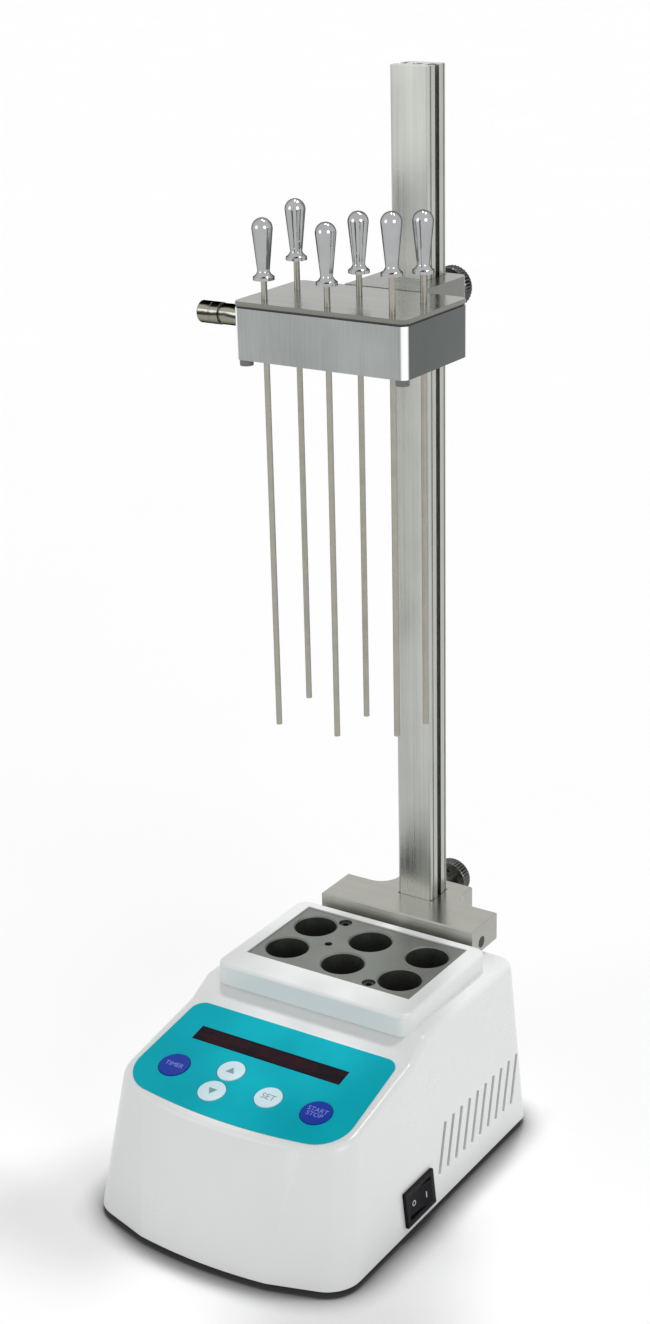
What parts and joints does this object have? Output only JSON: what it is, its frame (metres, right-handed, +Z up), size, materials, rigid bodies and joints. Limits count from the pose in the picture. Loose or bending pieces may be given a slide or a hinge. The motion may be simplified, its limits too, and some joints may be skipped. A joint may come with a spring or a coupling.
{
  "type": "nitrogen sample evaporator",
  "caption": "Bench dry bath with a sloping key panel and a rear column that carries a sliding gas manifold with adjustable blow-down needles above the tube wells.",
  "frame": {"origin": "on the table under the middle of the base, level with the feet's undersides", "axes": "+X to the right of a person at the panel, +Y to the back, +Z up along the column"},
  "size_m": [0.1248, 0.1926, 0.4153],
  "materials": {
    "white_shell": "satin",
    "floor_sheet": "matte",
    "foot_rubber": "matte",
    "steel": "satin",
    "dark_steel": "satin",
    "block_aluminium": "satin",
    "heater_film": "satin",
    "foam": "matte",
    "circuit_board": "satin",
    "overlay_teal": "satin",
    "dark_window": "gloss",
    "display_black": "matte",
    "key_blue": "satin",
    "key_pale": "satin",
    "black_plastic": "satin",
    "anodised_aluminium": "brushed",
    "polished_steel": "polished",
    "seal": "matte",
    "nylon": "matte",
    "fitting": "polished"
  },
  "bodies": {
    "base": {"housing": "white_shell", "base_plate": "floor_sheet", "rubber_feet": "foot_rubber", "base_screws": "steel", "heating_block": "block_aluminium", "block_screws": "dark_steel", "heater_plate": "block_aluminium", "temperature_sensor": "steel", "film_heater": "heater_film", "insulation_sleeve": "foam", "support_tray": "floor_sheet", "support_posts": "steel", "thermal_cutoff": "display_black", "panel_overlay": "overlay_teal", "display_window": "dark_window", "display_module": "display_black", "control_board": "circuit_board", "key_switches": "display_black", "board_screws": "steel", "power_board": "circuit_board", "transformer": "display_black", "power_board_posts": "nylon", "power_socket": "black_plastic", "switch_housing": "black_plastic", "column_bracket": "anodised_aluminium", "bracket_screws": "dark_steel"},
    "rocker_paddle": {"rocker": "black_plastic"},
    "column_bar": {"column": "anodised_aluminium"},
    "lower_pad": {"lower_clamp_pad": "nylon"},
    "lower_clamp": {"lower_knob": "dark_steel", "lower_clamp_screw": "steel"},
    "gas_carriage": {"carriage": "anodised_aluminium", "carriage_screws": "dark_steel", "manifold_body": "anodised_aluminium", "manifold_gasket": "seal", "manifold_lid": "anodised_aluminium", "manifold_screws": "dark_steel", "needle_seals": "seal", "gas_inlet": "fitting", "inlet_washer": "seal"},
    "upper_pad": {"upper_clamp_pad": "nylon"},
    "upper_clamp": {"upper_knob": "dark_steel", "upper_clamp_screw": "steel"},
    "timer_button": {"timer_key": "key_blue"},
    "up_button": {"up_key": "key_pale"},
    "down_button": {"down_key": "key_pale"},
    "set_button": {"set_key": "key_pale"},
    "start_button": {"start_key": "key_blue"},
    "gas_needle_1": {"needle_1": "polished_steel", "needle_grip_1": "polished_steel"},
    "gas_needle_2": {"needle_2": "polished_steel", "needle_grip_2": "polished_steel"},
    "gas_needle_3": {"needle_3": "polished_steel", "needle_grip_3": "polished_steel"},
    "gas_needle_4": {"needle_4": "polished_steel", "needle_grip_4": "polished_steel"},
    "gas_needle_5": {"needle_5": "polished_steel", "needle_grip_5": "polished_steel"},
    "gas_needle_6": {"needle_6": "polished_steel", "needle_grip_6": "polished_steel"}
  },
  "joints": [
    {"name": "timer_press", "type": "slide", "parent": "base", "child": "timer_button", "axis": [0, 0.1994, -0.9799], "range_m": [0, 0.0004], "stiffness_N_per_m": 500, "springref_m": -0.0006},
    {"name": "up_press", "type": "slide", "parent": "base", "child": "up_button", "axis": [0, 0.1994, -0.9799], "range_m": [0, 0.0004], "stiffness_N_per_m": 500, "springref_m": -0.0006},
    {"name": "down_press", "type": "slide", "parent": "base", "child": "down_button", "axis": [0, 0.1994, -0.9799], "range_m": [0, 0.0004], "stiffness_N_per_m": 500, "springref_m": -0.0006},
    {"name": "set_press", "type": "slide", "parent": "base", "child": "set_button", "axis": [0, 0.1994, -0.9799], "range_m": [0, 0.0004], "stiffness_N_per_m": 500, "springref_m": -0.0006},
    {"name": "start_press", "type": "slide", "parent": "base", "child": "start_button", "axis": [0, 0.1994, -0.9799], "range_m": [0, 0.0004], "stiffness_N_per_m": 500, "springref_m": -0.0006},
    {"name": "rocker_tip", "type": "hinge", "parent": "base", "child": "rocker_paddle", "pos_m": [0.05699, -0.0123, 0.0132], "axis": [-0.0988, 0, 0.9951], "range_deg": [0, 18]},
    {"name": "column_slide", "type": "slide", "parent": "base", "child": "column_bar", "axis": [0, 0, 1], "range_m": [-0.03, 0.008]},
    {"name": "carriage_slide", "type": "slide", "parent": "column_bar", "child": "gas_carriage", "axis": [0, 0, 1], "range_m": [-0.102, 0.06]},
    {"name": "lower_knob_turn", "type": "hinge", "parent": "lower_pad", "child": "lower_clamp", "pos_m": [0, 0.1051, 0.0815], "axis": [0, 1, 0], "range_deg": [0, 720]},
    {"name": "lower_pad_slide", "type": "slide", "parent": "base", "child": "lower_pad", "axis": [0, 1, 0], "range_m": [0, 0.0016]},
    {"name": "upper_knob_turn", "type": "hinge", "parent": "upper_pad", "child": "upper_clamp", "pos_m": [0, 0.1051, 0.332], "axis": [0, 1, 0], "range_deg": [0, 720]},
    {"name": "upper_pad_slide", "type": "slide", "parent": "gas_carriage", "child": "upper_pad", "axis": [0, 1, 0], "range_m": [0, 0.0016]},
    {"name": "needle_1_slide", "type": "slide", "parent": "gas_carriage", "child": "gas_needle_1", "axis": [0, 0, 1], "range_m": [-0.007, 0.08]},
    {"name": "needle_2_slide", "type": "slide", "parent": "gas_carriage", "child": "gas_needle_2", "axis": [0, 0, 1], "range_m": [-0.0105, 0.08]},
    {"name": "needle_3_slide", "type": "slide", "parent": "gas_carriage", "child": "gas_needle_3", "axis": [0, 0, 1], "range_m": [-0.0075, 0.08]},
    {"name": "needle_4_slide", "type": "slide", "parent": "gas_carriage", "child": "gas_needle_4", "axis": [0, 0, 1], "range_m": [-0.0081, 0.08]},
    {"name": "needle_5_slide", "type": "slide", "parent": "gas_carriage", "child": "gas_needle_5", "axis": [0, 0, 1], "range_m": [-0.013, 0.08]},
    {"name": "needle_6_slide", "type": "slide", "parent": "gas_carriage", "child": "gas_needle_6", "axis": [0, 0, 1], "range_m": [-0.0103, 0.08]}
  ],
  "couplings": [
    {"joint": "lower_knob_turn", "follows": "lower_pad_slide", "rad_per_m": 7854},
    {"joint": "upper_knob_turn", "follows": "upper_pad_slide", "rad_per_m": 7854}
  ]
}
